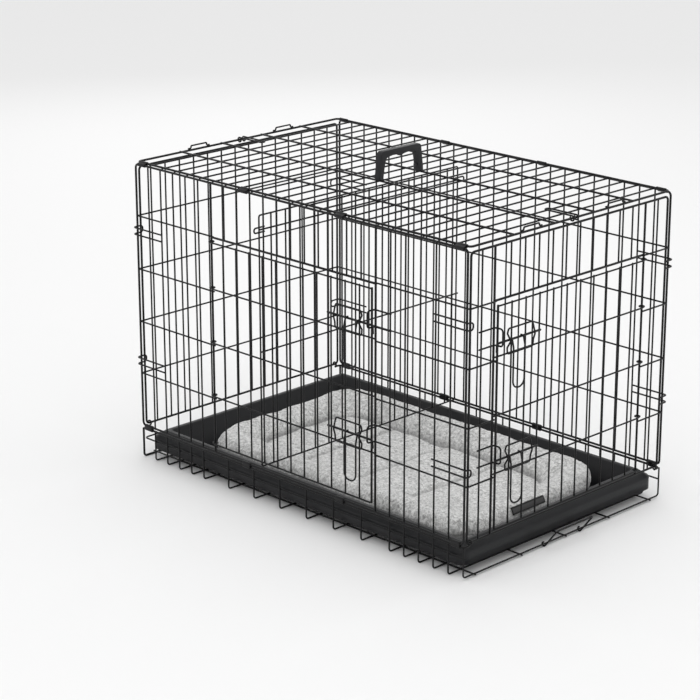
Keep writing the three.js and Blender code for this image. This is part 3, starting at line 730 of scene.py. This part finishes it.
stop_curls = [curl(stop_pivot + (0, y, 0), (0, 1, 0), stop_out, 235, stop_arm) for y in STOP_Y]
flap = bend([on_stop(STOP_Y[0], 0), on_stop(STOP_Y[0], STOP_TALL),
             on_stop(STOP_Y[1], STOP_TALL), on_stop(STOP_Y[1], 0)], 5 * MM)
stop_path = np.vstack([stop_curls[0][::-1], flap[1:-1], stop_curls[1]])
make("tray_stop_wire", [tube(stop_path, THIN)], black_dip, "tray_stop", "tray_stop")

# %% [markdown]
# ## Divider
# A spare grille that splits the cabin for a puppy. It stands inside the long panels, with a loop at
# each side that pokes out between two uprights.

# %% Divider
div_low, div_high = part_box("divider_panel")
DIV_X = div_low.x + RAIL
DIV_Y = HALF_Y - 7 * MM
DIV_FOOT, DIV_TOP = div_low.z + RAIL, div_high.z - RAIL
shapes = [frame_loop([
    (DIV_X, -DIV_Y, DIV_FOOT), (DIV_X, DIV_Y, DIV_FOOT), (DIV_X, DIV_Y, DIV_TOP), (DIV_X, -DIV_Y, DIV_TOP)],
    THIN, 4 * MM)]
for j in range(1, END_BAYS):
    shapes.append(rod((DIV_X, bay_y(j), DIV_FOOT), (DIV_X, bay_y(j), DIV_TOP)))
level_x = DIV_X + LAYER
for share in (0.43, 0.87):
    z = SIDE_FOOT + share * SIDE_TALL
    shapes.append(rod((level_x, -DIV_Y - RAIL, z), (level_x, DIV_Y + RAIL, z)))
for side in (-1, 1):
    z = SIDE_FOOT + 0.87 * SIDE_TALL
    inner, outer = side * (DIV_Y - 12 * MM), side * (HALF_Y + 9 * MM)
    shapes.append(tube(bend([(level_x, inner, z - 5 * MM), (level_x, outer, z - 5 * MM),
                             (level_x, outer, z + 5 * MM), (level_x, inner, z + 5 * MM)], 4.5 * MM), THIN))
make("divider_grille", shapes, black_dip, "crate", "divider_panel")

# %% [markdown]
# ## Carry handle
# The handle is a plastic moulding: a flat grip with two shallow scallops on its underside, two legs
# and two flared feet that clip round wires of the top. Its outline lies in the Y-Z plane and is
# carried from one face to the other. A Bevel modifier rounds the edges, because a moulding has no
# sharp edge, and a small clip tab stands beside each foot.

# %% Handle
hand_low, hand_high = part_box("carry_handle")


def handle_outline():
    """Outer edge: legs that lean inwards, joined to the grip by quarter circles. Inner edge: legs joined
    by two scallops, whose height is the square root of |sin| along the grip."""
    foot, roof = hand_low.z - 1.2 * MM, hand_high.z
    foot_y, top_y = hand_high.y, hand_high.y - 6 * MM
    shoulder = 8 * MM
    quarter = np.linspace(0, math.pi / 2, 8)
    right = np.column_stack([
        top_y - shoulder + shoulder * np.cos(quarter), roof - shoulder + shoulder * np.sin(quarter)])
    left = right[::-1] * (-1, 1)
    outer = np.vstack([[(foot_y, foot), (foot_y - 0.6 * MM, foot + 9 * MM)], right,
                       left, [(-foot_y + 0.6 * MM, foot + 9 * MM), (-foot_y, foot)]])
    foot_in, top_in = foot_y - 13 * MM, top_y - 12 * MM
    along = np.linspace(-top_in + 3 * MM, top_in - 3 * MM, 41)
    arch = np.abs(np.sin(2 * math.pi * np.linspace(0, 1, 41)))
    scallops = np.column_stack([along, roof - 17.5 * MM + 5.5 * MM * np.sqrt(arch)])
    inner = np.vstack([[(-foot_in, foot), (-foot_in + MM, foot + 10 * MM), (-top_in, roof - 24 * MM)],
                       scallops, [(top_in, roof - 24 * MM), (foot_in - MM, foot + 10 * MM), (foot_in, foot)]])
    return np.vstack([outer, inner])


def handle_body():
    """The outline carried from one face to the other, with one polygon for each face."""
    outline = handle_outline()
    count = len(outline)
    near = np.column_stack([np.full(count, hand_high.x - 0.2 * MM), outline])
    far = np.column_stack([np.full(count, hand_low.x + 0.2 * MM), outline])
    i = np.arange(count)
    j = (i + 1) % count
    sides = np.stack([i, i + count, j + count, j], -1).tolist()
    return np.vstack([near, far]), [list(range(count)), list(range(count, 2 * count))[::-1], *sides]


def wedge(y, z, out):
    """A clip tab: a small block with a sloping top, standing out of the leg by out."""
    x0, x1 = hand_low.x + 2.5 * MM, hand_high.x - 2.5 * MM
    y0, y1 = y, y + out
    corners = np.array([(x, yy, zz) for x in (x0, x1) for yy, zz in (
        (y0, z - 2.5 * MM), (y1, z - 2 * MM), (y1, z - 0.5 * MM), (y0, z + 3 * MM))])
    faces = [[0, 1, 2, 3], [7, 6, 5, 4], [0, 4, 5, 1], [1, 5, 6, 2], [2, 6, 7, 3], [3, 7, 4, 0]]
    return corners, faces


clips = [wedge(side * (hand_high.y - 14 * MM), hand_low.z + 13 * MM, -side * 5 * MM) for side in (-1, 1)]
handle = make(
    "carry_handle_moulding", [handle_body(), *clips], moulded_grip, "crate", "carry_handle", slot="handle")
edge = handle.modifiers.new("rounded_edges", "BEVEL")
edge.width = 1.6 * MM
edge.segments = 3
edge.limit_method = "ANGLE"
edge.angle_limit = math.radians(50)

# %% [markdown]
# ## Tray
# The tray is one sheet of plastic, drawn by vacuum over a mould: a flat floor, sloping walls, a
# rounded crown and an outer skirt that hangs over the edge. Its section is a short path of inset and
# height with rounded bends, carried round a rectangle with rounded corners. The corner radius
# shrinks with the inset, so every ring of the grid stays parallel to the outer edge.

# %% Tray
TRAY_CORNER = 20 * MM
WALL = 2.4 * MM
TRAY_FLOOR, TRAY_HEM, TRAY_LIP = 6.6 * MM, 23 * MM, 48 * MM  # heights above the ground


def rounded_rectangle(low, high, corner, arc=10):
    """Outlines of rectangles with quarter-circle corners, one for each entry of low, high and corner.
    Each quarter is its own middle plus radius times (cos, sin)."""
    quarter = np.linspace(0, math.pi / 2, arc)
    rows = []
    for q, (sx, sy) in enumerate(((1, 1), (-1, 1), (-1, -1), (1, -1))):
        angle = quarter + q * math.pi / 2
        mx = np.where(sx > 0, high[:, 0] - corner, low[:, 0] + corner)[:, None]
        my = np.where(sy > 0, high[:, 1] - corner, low[:, 1] + corner)[:, None]
        arm = corner[:, None]
        rows.append(np.stack([mx + arm * np.cos(angle), my + arm * np.sin(angle)], -1))
    return np.concatenate(rows, axis=1)


def loft(profile, low, high, corner, smallest=8 * MM):
    """A surface round a rectangle: for each (inset, z) of the profile, the rectangle drawn in by the
    inset at that height. First and last rings are closed by one polygon each."""
    inset, z = profile[:, 0], profile[:, 1]
    ring = rounded_rectangle(
        np.array([low])[:, :2] + inset[:, None], np.array([high])[:, :2] - inset[:, None],
        np.maximum(corner - inset, smallest))
    count = ring.shape[1]
    verts = np.concatenate([ring, np.broadcast_to(z[:, None, None], (*ring.shape[:2], 1))], -1).reshape(-1, 3)
    faces = grid_faces(len(z), count).tolist()
    last = (len(z) - 1) * count
    return verts, [list(range(count))[::-1], *faces, list(range(last, last + count))]


def section(points, radius):
    """A profile with rounded bends, as (inset, z) rows."""
    flat = np.array([(a, 0, b) for a, b in points])
    return bend(flat, radius, 5)[:, [0, 2]]


def tray_shape():
    """Underside outwards, down inside the skirt, round its hem, and back over lip, crown and floor."""
    floor, crown, lip = TRAY_FLOOR, tray_high.z, TRAY_LIP
    under = section([
        (75 * MM, floor), (55 * MM, floor), (26.5 * MM, crown - WALL), (21.5 * MM, crown - WALL),
        (WALL, lip - 1 * MM), (WALL, TRAY_HEM)], 4 * MM)
    over = section([
        (0, TRAY_HEM), (0, lip + 0.5 * MM), (20 * MM, crown), (29 * MM, crown), (58 * MM, floor + WALL),
        (80 * MM, floor + WALL)], 5 * MM)
    return loft(np.vstack([under, over]), tray_low, tray_high, TRAY_CORNER)


make("tray_sheet_form", [tray_shape()], tray_sheet, "tray", "tray", slot="tray")

# %% [markdown]
# ## Mat: the fleece
# Fleece is a carpet of short fibres that clump into tufts. Close up it has relief, from afar it reads
# as a mottled pale grey that is lighter where the fibres face up. Sheen gives the soft bright edge.
# The tufts come from two noises of different size, read in Object coordinates, which mix the
# colour and feed one Bump node. The darker colour in the gaps between tufts is painted shade.


# %% Fleece material
def fleece_cloth():
    """Colour runs from a darker gap between tufts, which is painted shade, to the pale tuft tips; the same
    height is the bump.
    """
    material, tree, shader = new_material("fleece_cloth", {
        "Roughness": 0.95, "Specular IOR Level": 0.15, "Sheen Weight": 0.5, "Sheen Roughness": 0.6})
    place = add(tree, "TexCoord")
    tufts = add(tree, "TexNoise", {"Scale": 170, "Detail": 5, "Roughness": 0.7, "Distortion": 0.8})
    patches = add(tree, "TexNoise", {"Scale": 14, "Detail": 3})
    ramp = add(tree, "ValToRGB")
    # The gap colour is painted shade between the tufts; the tip colour is the fleece's own pale grey.
    gap, tip = ramp.color_ramp.elements
    gap.position, gap.color = 0.38, (0.34, 0.34, 0.335, 1)
    tip.position, tip.color = 0.60, (0.88, 0.88, 0.87, 1)
    shade = add(tree, "Mix", {"Factor": 0.2}, data_type="RGBA", blend_type="MULTIPLY")
    # A point attribute stored by finish_mat darkens the colour towards near black at the seams: painted shade
    # in the sunken seams.
    seam_shade = add(tree, "Attribute", attribute_name="seam_shade")
    seam = add(tree, "Mix", {"B": (0.10, 0.10, 0.10, 1)}, data_type="RGBA")
    bump = add(tree, "Bump", {"Strength": 0.9, "Distance": 2.0 * MM})
    join(
        tree,
        (place, "Object", tufts, "Vector"), (place, "Object", patches, "Vector"), (tufts, "Fac", ramp, "Fac"),
        (ramp, "Color", shade, "A"), (patches, "Fac", shade, "B"), (seam_shade, "Fac", seam, "Factor"),
        (shade, "Result", seam, "A"), (seam, "Result", shader, "Base Color"), (tufts, "Fac", bump, "Height"),
        (bump, "Normal", shader, "Normal"))
    return material


fleece = fleece_cloth()

# %% [markdown]
# ## Mat: the shape
# The mat is a quilted middle with a stuffed bolster sewn round it. A stuffed shape is what pressure
# does to cloth that is held along its seams, so that is how it is made: a low form with the seams
# already drawn in is remeshed evenly, its seam points are pinned, and a short cloth simulation
# with pressure and no gravity blows up everything between them. No point may move more than the cap,
# and none sinks through the tray. Afterwards the seams are pressed in and the tufts raised.

# %% Mat form
BOLSTER = 82 * MM
MAT_CORNER = 78 * MM
QUILT_X = (-0.25, 0.0, 0.25)  # cross seams, as shares of the middle's length from its centre
CAP = 8 * MM
mat_middle = (mat_low + mat_high) / 2
MAT_FLOOR = mat_low.z + 0.3 * MM


def seam_distance(x, y):
    """How far each point is, in plan, from the seam between bolster and middle, and from the nearest
    cross seam. The bolster seam is a rounded rectangle; its signed distance is that of a rectangle
    shrunk by the corner radius, less the radius."""
    half = np.array([mat_high.x - mat_middle.x - BOLSTER, mat_high.y - mat_middle.y - BOLSTER])
    corner = 0.055
    qx = np.abs(x - mat_middle.x) - (half[0] - corner)
    qy = np.abs(y - mat_middle.y) - (half[1] - corner)
    outside = np.hypot(np.maximum(qx, 0), np.maximum(qy, 0)) + np.minimum(np.maximum(qx, qy), 0) - corner
    wave = 4 * MM * np.sin(9 * y)
    cross = np.min([np.abs(x - mat_middle.x - s * 2 * half[0] - wave) for s in QUILT_X], axis=0)
    return outside, cross


def mat_form():
    """The mat a little slimmer than it will be: bolster as a rounded section, then a step down to
    the middle. It is a loft like the tray's, so the step follows the outline."""
    low, high = np.array(mat_low) + 5 * MM, np.array(mat_high) - 5 * MM
    floor, top = mat_low.z + 1 * MM, mat_high.z - 9 * MM
    dip = floor + 19 * MM
    profile = section([
        (16 * MM, floor), (1 * MM, floor + 12 * MM), (0, floor + 24 * MM), (14 * MM, top),
        (BOLSTER - 30 * MM, top),
        (BOLSTER - 7 * MM, dip), (BOLSTER + 25 * MM, dip)], 14 * MM)
    return loft(profile, low, high, MAT_CORNER, smallest=30 * MM)


mat = make("mat_fleece_form", [mat_form()], fleece, "tray", "mat", slot="mat")

# %% Mat stuffing
remesh = mat.modifiers.new("even", "REMESH")
remesh.mode = "VOXEL"
remesh.voxel_size = 6.5 * MM
bpy.context.view_layer.objects.active = mat
bpy.ops.object.modifier_apply(modifier="even")


def coordinates(mesh):
    """All vertex positions of a mesh as one array."""
    out = np.empty(len(mesh.vertices) * 3)
    mesh.vertices.foreach_get("co", out)
    return out.reshape(-1, 3)


def stuff(piece, cap):
    """Pins the seams, runs the cloth for 20 frames, and keeps each point within cap of its start."""
    start = coordinates(piece.data)
    outside, cross = seam_distance(start[:, 0], start[:, 1])
    on_top = start[:, 2] > mat_low.z + 12 * MM
    sewn = on_top & ((np.abs(outside) < 4 * MM) | ((outside < 0) & (cross < 3.5 * MM)))
    flat = start[:, 2] < mat_low.z + 3 * MM
    group = piece.vertex_groups.new(name="sewn")
    group.add(np.flatnonzero(sewn | flat).tolist(), 1.0, "REPLACE")
    cloth = piece.modifiers.new("stuffing", "CLOTH")
    cloth.settings.quality = 4
    cloth.settings.mass = 0.25
    cloth.settings.vertex_group_mass = "sewn"
    cloth.settings.use_pressure = True
    cloth.settings.uniform_pressure_force = 4
    cloth.settings.effector_weights.gravity = 0
    cloth.point_cache.frame_start = 1
    cloth.point_cache.frame_end = 20
    for number in range(1, 21):
        bpy.context.scene.frame_set(number)
    shape = piece.evaluated_get(bpy.context.evaluated_depsgraph_get())
    moved = coordinates(shape.to_mesh()) - start
    shape.to_mesh_clear()
    piece.modifiers.remove(cloth)
    bpy.context.scene.frame_set(1)
    length = np.linalg.norm(moved, axis=1, keepdims=True)
    moved *= np.minimum(1, cap / np.maximum(length, 1e-9))
    end = start + moved
    end[:, 2] = np.maximum(end[:, 2], MAT_FLOOR)
    piece.data.vertices.foreach_set("co", end.ravel())
    piece.data.update()
    print("stuffing moved points by up to %.1f mm" % (1000 * np.linalg.norm(moved, axis=1).max()))


stuff(mat, CAP)

# %% [markdown]
# ## Mat: seams and tufts
# Remeshing and stuffing soften every crease, so the seams are drawn in now, on a finer mesh: points
# near a seam sink by a smooth bell of their distance to it, and the same bell is kept to darken the colour
# there as painted shade. The tufts are a sum of short waves in many directions with seeded phases, which
# is a whole-array formula and gives the same mat every time.


# %% Finish the mat
def subdivide(piece):
    """One level of subdivision, applied."""
    smooth = piece.modifiers.new("finer", "SUBSURF")
    smooth.levels = smooth.render_levels = 1
    bpy.context.view_layer.objects.active = piece
    bpy.ops.object.modifier_apply(modifier="finer")


def ripple(points, size, count, seed):
    """A rough height from -1 to 1: the mean of waves of about the given length, with directions and
    phases drawn from a seeded generator."""
    rng = np.random.default_rng(seed)
    way = unit(rng.normal(size=(count, 3))) * (2 * math.pi / size) * rng.uniform(0.7, 1.4, (count, 1))
    return np.sin(points @ way.T + rng.uniform(0, 2 * math.pi, count)).sum(1) / math.sqrt(count)


def finish_mat(piece):
    """Sinks the seams by a bell of their distance, leans the rear bolster towards the tray's wall by a
    smooth step of Y and height, then raises tufts along the normals."""
    subdivide(piece)
    mesh = piece.data
    points = coordinates(mesh)
    normals = np.empty(len(mesh.vertices) * 3)
    mesh.vertices.foreach_get("normal", normals)
    normals = normals.reshape(-1, 3)
    outside, cross = seam_distance(points[:, 0], points[:, 1])
    upper = np.clip((points[:, 2] - mat_low.z - 8 * MM) / (6 * MM), 0, 1)
    ring_seam = np.exp(-((outside / (5 * MM)) ** 2))
    cross_seam = 0.6 * np.exp(-((cross / (5 * MM)) ** 2)) * (outside < 0)
    drawn_in = upper * np.maximum(ring_seam, cross_seam)
    points[:, 2] -= 6 * MM * drawn_in
    # The bell is also stored as an attribute that darkens the fleece's colour there: painted shade in the
    # seams.
    mesh.attributes.new("seam_shade", "FLOAT", "POINT").data.foreach_set("value", 0.7 * drawn_in)
    rear = np.clip((points[:, 1] - mat_middle.y - 90 * MM) / (90 * MM), 0, 1)
    lean = rear * rear * (3 - 2 * rear) * np.clip((points[:, 2] - mat_low.z - 14 * MM) / (26 * MM), 0, 1)
    points += lean[:, None] * np.array([0, 11 * MM, 7 * MM])
    lump = 1.6 * MM * ripple(points, 0.09, 24, 5)
    tuft = 0.6 * MM * ripple(points, 0.012, 60, 7)
    points += normals * (upper * (lump + tuft))[:, None]
    points = np.clip(points, np.array([mat_low.x - 4 * MM, mat_low.y - 4 * MM, MAT_FLOOR]),
                     np.array([mat_high.x + 4 * MM, mat_high.y + 12 * MM, mat_high.z + 9 * MM]))
    mesh.vertices.foreach_set("co", points.ravel())
    mesh.polygons.foreach_set("use_smooth", np.full(len(mesh.polygons), True))
    mesh.update()
    print("mat has %d faces, top at %.1f mm" % (len(mesh.polygons), 1000 * points[:, 2].max()))


finish_mat(mat)

# %% [markdown]
# ## Mat: the label
# A small woven label is sewn into the mat's right end. It is a thin patch whose slope follows the
# bolster: each row of a grid lies a millimetre outside the fleece's mean surface at its height. Its
# weave is a fine wave, and its border is a darker band near the edge. It has no lettering.


# %% Label
def label_cloth():
    """Woven label: a fine wave in the label's own map, with a black border band."""
    material, tree, shader = new_material("label_cloth", {"Roughness": 0.85, "Sheen Weight": 0.2})
    place = add(tree, "UVMap", uv_map="label")
    border = add(tree, "Attribute", attribute_name="border")
    wave = add(tree, "TexWave", {"Scale": 60})
    mix = add(tree, "Mix", {"A": (0.07, 0.07, 0.07, 1), "B": (0.006, 0.006, 0.006, 1)}, data_type="RGBA")
    bump = add(tree, "Bump", {"Strength": 0.5, "Distance": 0.3 * MM})
    join(
        tree,
        (place, "UV", wave, "Vector"), (wave, "Fac", bump, "Height"), (border, "Fac", mix, "Factor"),
        (mix, "Result", shader, "Base Color"), (bump, "Normal", shader, "Normal"))
    return material


LABEL_LONG, LABEL_TALL = 96 * MM, 14 * MM
LABEL_Y, LABEL_Z = -12 * MM, 47 * MM
LABEL_BORDER = 3 * MM


def label_patch():
    """Grid over (s, t) from -1 to 1. Each point keeps the Y and height of the label. Its X is that of
    the fleece's outermost points near it, averaged along the label, plus 1 mm."""
    s, t = np.meshgrid(np.linspace(-1, 1, 49), np.linspace(-1, 1, 13), indexing="ij")
    y = LABEL_Y + s * LABEL_LONG / 2
    z = LABEL_Z + t * LABEL_TALL / 2
    skin = coordinates(mat.data)
    skin = skin[skin[:, 0] > mat_high.x - 40 * MM]
    gap = np.hypot(skin[None, :, 1] - y.reshape(-1, 1), skin[None, :, 2] - z.reshape(-1, 1))
    near = np.where(gap < 7 * MM, skin[None, :, 0], -1).max(1).reshape(y.shape)
    x = np.broadcast_to(near.mean(0), near.shape) + 1 * MM
    verts = np.stack([x, y, z], -1).reshape(-1, 3)
    faces = grid_faces(*s.shape, round_columns=False)[:, TURNED]
    inner_s, inner_t = (1 - LABEL_BORDER / size * 2 for size in (LABEL_LONG, LABEL_TALL))
    edge = np.maximum(np.abs(s) - inner_s, np.abs(t) - inner_t).ravel()
    return verts, faces, np.column_stack([s.ravel(), t.ravel()]), np.clip(edge * 40, 0, 1)


patch, patch_faces, patch_map, patch_border = label_patch()
label = make("mat_label", [(patch, patch_faces.tolist())], label_cloth(), "tray", slot="mat")
label_map = label.data.uv_layers.new(name="label")
corners = np.empty(len(label.data.loops), np.int32)
label.data.loops.foreach_get("vertex_index", corners)
label_map.data.foreach_set("uv", (patch_map[corners] * (2.7, 0.5)).ravel())
label.data.attributes.new("border", "FLOAT", "POINT").data.foreach_set("value", patch_border)
thick = label.modifiers.new("thickness", "SOLIDIFY")
thick.thickness = 0.8 * MM
thick.offset = -1

# %% [markdown]
# ## Studio
# The crate stands on a pale floor that fades into a pale surround. Three broad lights give soft
# streaks along the wires without hard shadows: a large one above, one beside the camera and a
# weaker one from behind that separates the far wires from the floor.


# %% Floor and lights
FLOOR_REACH = 14.0
LIGHT_AIM = 0.35  # height that the lights look at


def studio_floor():
    """A wide plane just under the wires, in a matt off-white with a trace of unevenness."""
    material, tree, shader = new_material("studio_floor", {"Roughness": 0.9})
    noise = add(tree, "TexNoise", {"Scale": 1.5})
    ramp = add(tree, "ValToRGB")
    for stop, grey in zip(ramp.color_ramp.elements, (0.86, 0.90)):
        stop.color = (grey, grey, grey, 1)
    join(tree, (noise, "Fac", ramp, "Fac"), (ramp, "Color", shader, "Base Color"))
    reach = FLOOR_REACH
    mesh = bpy.data.meshes.new("studio_floor")
    mesh.from_pydata(
        [(-reach, -reach, 0), (reach, -reach, 0), (reach, reach, 0), (-reach, reach, 0)], [], [(0, 1, 2, 3)])
    mesh.materials.append(material)
    floor = bpy.data.objects.new("studio_floor", mesh)
    bpy.context.scene.collection.objects.link(floor)
    return floor


def soft_light(name, place, size, power):
    """A square area light that looks at the middle of the crate."""
    data = bpy.data.lights.new(name, "AREA")
    data.shape = "SQUARE"
    data.size = size
    data.energy = power
    light = bpy.data.objects.new(name, data)
    light.location = place
    aim = mat_middle.copy()
    aim.z = LIGHT_AIM
    light.rotation_euler = (aim - light.location).to_track_quat("-Z", "Y").to_euler()
    bpy.context.scene.collection.objects.link(light)
    return light


studio_floor()
soft_light("overhead_light", (0.3, 0.2, 3.2), 3.0, 22)
soft_light("camera_side_light", (2.2, -3.2, 2.6), 2.2, 16)
soft_light("rear_light", (-2.8, 2.2, 1.8), 2.0, 9)
world = bpy.data.worlds.new("pale_surround")
world.use_nodes = True
surround = world.node_tree.nodes["Background"].inputs
surround["Color"].default_value = (1, 1, 1, 1)
surround["Strength"].default_value = 0.9
bpy.context.scene.world = world
bpy.context.scene.view_settings.view_transform = "Standard"  # white stays white

# %% [markdown]
# ## Camera
# A long lens from the front right corner, a little above the top. Its heading, pitch and distance
# were solved from the crate's corners, so they are given as plain angles and metres.

# %% Camera
CAMERA_PLACE = (3.051, -3.164, 1.722)
CAMERA_YAW, CAMERA_PITCH = 44.98, 17.81

lens = bpy.data.cameras.new("product_camera")
lens.lens = 117.5
lens.sensor_width = 36
lens.shift_x = -0.0101
lens.shift_y = -0.0237
camera = bpy.data.objects.new("product_camera", lens)
camera.location = CAMERA_PLACE
camera.rotation_euler = (math.radians(90 - CAMERA_PITCH), 0, math.radians(CAMERA_YAW))
bpy.context.scene.collection.objects.link(camera)
bpy.context.scene.camera = camera
